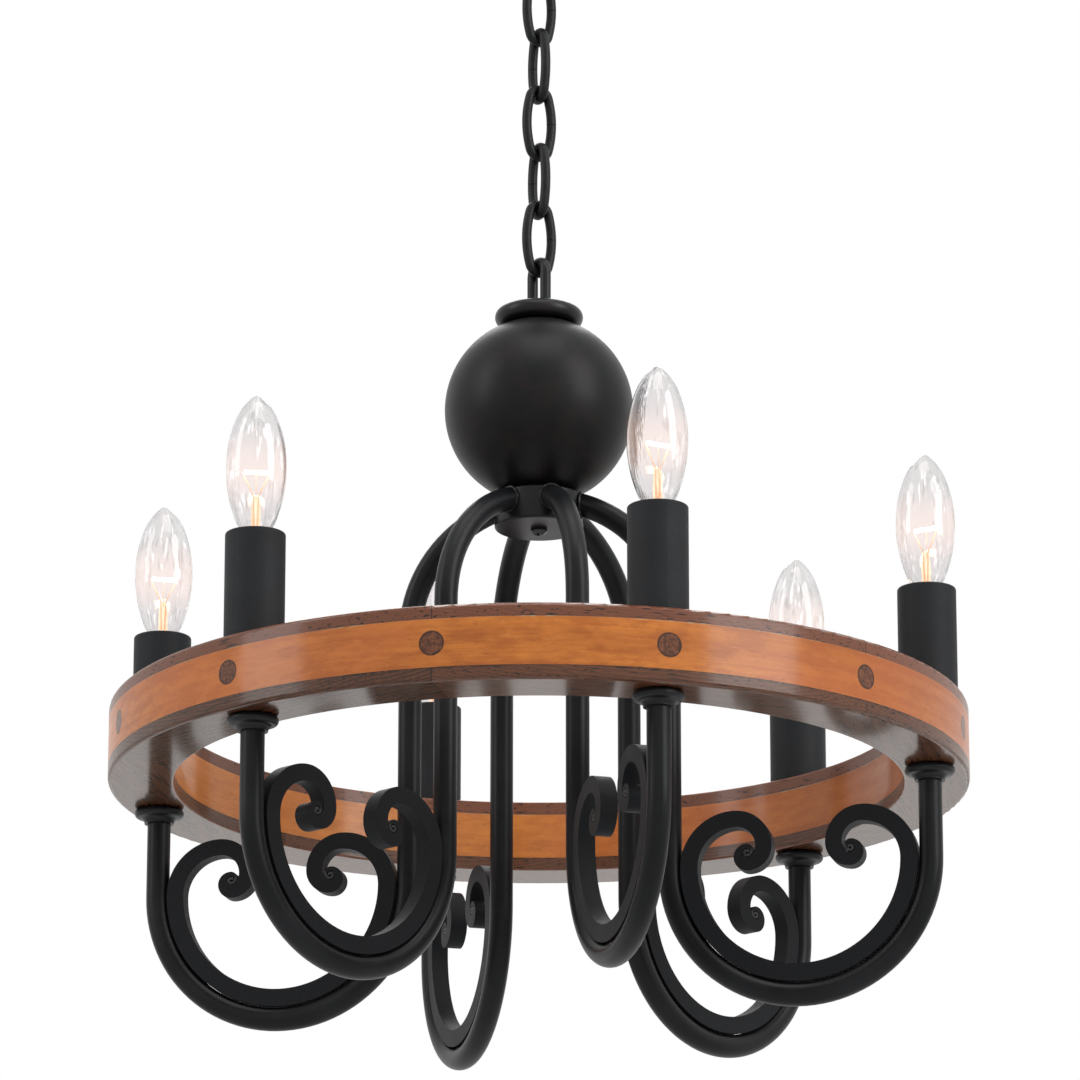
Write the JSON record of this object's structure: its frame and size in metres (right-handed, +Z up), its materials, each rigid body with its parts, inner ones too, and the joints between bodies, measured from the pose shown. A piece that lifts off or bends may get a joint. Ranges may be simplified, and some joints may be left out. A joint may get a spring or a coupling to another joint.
{
  "type": "wagon wheel chandelier",
  "caption": "Hanging chandelier with a laminated wooden wheel rim on bent steel arms with scrolls, candle lamps round the rim, a hollow ball above the hub and a link chain.",
  "frame": {"origin": "centre of the ceiling plate in the plane of its rim, where it meets the ceiling", "axes": "+Z up, towards the ceiling; +X along the steel crossbar and along arm 1"},
  "size_m": [0.466, 0.466, 0.6842],
  "materials": {
    "black_steel": "matte black powder coat",
    "black_tube": "satin black powder coat",
    "black_scroll": "matte black powder coat",
    "black_ball": "satin black powder coat, faintly mottled",
    "black_sleeve": "fine textured charcoal powder coat",
    "black_chain": "black powder coat, worn at the bearing points",
    "black_screw": "gloss black oxide",
    "zinc_steel": "bright zinc",
    "light_wood": "lacquered orange-brown wood",
    "dark_wood": "lacquered dark brown wood",
    "plug_wood": "lacquered dark end grain",
    "socket_resin": "moulded lamp holder",
    "bulb_brass": "bright brass shell",
    "bulb_glass": "clear",
    "bulb_filament": "glass stem, wires and lit filament"
  },
  "bodies": {
    "canopy": {"canopy": "black_steel", "crossbar": "zinc_steel", "canopy_nipple": "zinc_steel", "canopy_locknut": "zinc_steel", "canopy_loop": "black_steel", "canopy_collar": "black_steel"},
    "chain_link_6": {"chain_link_6": "black_chain"},
    "chain_link_5": {"chain_link_5": "black_chain"},
    "chain_link_4": {"chain_link_4": "black_chain"},
    "chain_link_3": {"chain_link_3": "black_chain"},
    "chain_link_2": {"chain_link_2": "black_chain"},
    "chain_link_1": {"chain_link_1": "black_chain"},
    "fixture": {"ball_loop": "black_steel", "ball_collar": "black_steel", "ball": "black_ball", "centre_rod": "zinc_steel", "hub": "black_steel", "hub_cover": "black_steel", "cover_screw": "black_screw", "arm_1": "black_tube", "arm_2": "black_tube", "arm_3": "black_tube", "arm_4": "black_tube", "arm_5": "black_tube", "arm_6": "black_tube", "scroll_1": "black_scroll", "scroll_2": "black_scroll", "scroll_3": "black_scroll", "scroll_4": "black_scroll", "scroll_5": "black_scroll", "scroll_6": "black_scroll", "arm_collars": "black_steel", "arm_nipples": "zinc_steel", "lock_nuts": "zinc_steel", "ring_top_layer": "dark_wood", "ring_middle_layer": "light_wood", "ring_bottom_layer": "dark_wood", "dowels": "plug_wood", "sockets": "socket_resin", "candle_sleeves": "black_sleeve"},
    "bulb_base_1": {"bulb_base_1": "bulb_brass"},
    "bulb_1": {"bulb_glass_1": "bulb_glass", "bulb_filament_1": "bulb_filament"},
    "bulb_base_2": {"bulb_base_2": "bulb_brass"},
    "bulb_2": {"bulb_glass_2": "bulb_glass", "bulb_filament_2": "bulb_filament"},
    "bulb_base_3": {"bulb_base_3": "bulb_brass"},
    "bulb_3": {"bulb_glass_3": "bulb_glass", "bulb_filament_3": "bulb_filament"},
    "bulb_base_4": {"bulb_base_4": "bulb_brass"},
    "bulb_4": {"bulb_glass_4": "bulb_glass", "bulb_filament_4": "bulb_filament"},
    "bulb_base_5": {"bulb_base_5": "bulb_brass"},
    "bulb_5": {"bulb_glass_5": "bulb_glass", "bulb_filament_5": "bulb_filament"},
    "bulb_base_6": {"bulb_base_6": "bulb_brass"},
    "bulb_6": {"bulb_glass_6": "bulb_glass", "bulb_filament_6": "bulb_filament"}
  },
  "joints": [
    {"name": "canopy_swing", "type": "hinge", "parent": "canopy", "child": "chain_link_6", "pos_m": [0, 0, -0.058], "axis": [0.7478, 0.6639, 0], "range_deg": [-15, 15]},
    {"name": "link_6_swing", "type": "hinge", "parent": "chain_link_6", "child": "chain_link_5", "pos_m": [0, 0, -0.0919], "axis": [-0.6639, 0.7478, 0], "range_deg": [-15, 15]},
    {"name": "link_5_swing", "type": "hinge", "parent": "chain_link_5", "child": "chain_link_4", "pos_m": [0, 0, -0.1261], "axis": [0.7478, 0.6639, 0], "range_deg": [-15, 15]},
    {"name": "link_4_swing", "type": "hinge", "parent": "chain_link_4", "child": "chain_link_3", "pos_m": [0, 0, -0.1603], "axis": [-0.6639, 0.7478, 0], "range_deg": [-15, 15]},
    {"name": "link_3_swing", "type": "hinge", "parent": "chain_link_3", "child": "chain_link_2", "pos_m": [0, 0, -0.1945], "axis": [0.7478, 0.6639, 0], "range_deg": [-15, 15]},
    {"name": "link_2_swing", "type": "hinge", "parent": "chain_link_2", "child": "chain_link_1", "pos_m": [0, 0, -0.2287], "axis": [-0.6639, 0.7478, 0], "range_deg": [-15, 15]},
    {"name": "fixture_swing", "type": "hinge", "parent": "chain_link_1", "child": "fixture", "pos_m": [0, 0, -0.2629], "axis": [0.7478, 0.6639, 0], "range_deg": [-15, 15]},
    {"name": "bulb_1_rise", "type": "slide", "parent": "fixture", "child": "bulb_base_1", "axis": [0, 0, 1], "range_m": [0, 0.0127]},
    {"name": "bulb_1_turn", "type": "hinge", "parent": "bulb_base_1", "child": "bulb_1", "pos_m": [0.2145, 0, -0.45905], "axis": [0, 0, 1], "range_deg": [0, 1801]},
    {"name": "bulb_2_rise", "type": "slide", "parent": "fixture", "child": "bulb_base_2", "axis": [0, 0, 1], "range_m": [0, 0.0127]},
    {"name": "bulb_2_turn", "type": "hinge", "parent": "bulb_base_2", "child": "bulb_2", "pos_m": [0.10725, 0.18576, -0.45905], "axis": [0, 0, 1], "range_deg": [0, 1801]},
    {"name": "bulb_3_rise", "type": "slide", "parent": "fixture", "child": "bulb_base_3", "axis": [0, 0, 1], "range_m": [0, 0.0127]},
    {"name": "bulb_3_turn", "type": "hinge", "parent": "bulb_base_3", "child": "bulb_3", "pos_m": [-0.10725, 0.18576, -0.45905], "axis": [0, 0, 1], "range_deg": [0, 1801]},
    {"name": "bulb_4_rise", "type": "slide", "parent": "fixture", "child": "bulb_base_4", "axis": [0, 0, 1], "range_m": [0, 0.0127]},
    {"name": "bulb_4_turn", "type": "hinge", "parent": "bulb_base_4", "child": "bulb_4", "pos_m": [-0.2145, 0, -0.45905], "axis": [0, 0, 1], "range_deg": [0, 1801]},
    {"name": "bulb_5_rise", "type": "slide", "parent": "fixture", "child": "bulb_base_5", "axis": [0, 0, 1], "range_m": [0, 0.0127]},
    {"name": "bulb_5_turn", "type": "hinge", "parent": "bulb_base_5", "child": "bulb_5", "pos_m": [-0.10725, -0.18576, -0.45905], "axis": [0, 0, 1], "range_deg": [0, 1801]},
    {"name": "bulb_6_rise", "type": "slide", "parent": "fixture", "child": "bulb_base_6", "axis": [0, 0, 1], "range_m": [0, 0.0127]},
    {"name": "bulb_6_turn", "type": "hinge", "parent": "bulb_base_6", "child": "bulb_6", "pos_m": [0.10725, -0.18576, -0.45905], "axis": [0, 0, 1], "range_deg": [0, 1801]}
  ],
  "couplings": [
    {"joint": "bulb_1_turn", "follows": "bulb_1_rise", "rad_per_m": 2473.7},
    {"joint": "bulb_2_turn", "follows": "bulb_2_rise", "rad_per_m": 2473.7},
    {"joint": "bulb_3_turn", "follows": "bulb_3_rise", "rad_per_m": 2473.7},
    {"joint": "bulb_4_turn", "follows": "bulb_4_rise", "rad_per_m": 2473.7},
    {"joint": "bulb_5_turn", "follows": "bulb_5_rise", "rad_per_m": 2473.7},
    {"joint": "bulb_6_turn", "follows": "bulb_6_rise", "rad_per_m": 2473.7}
  ]
}
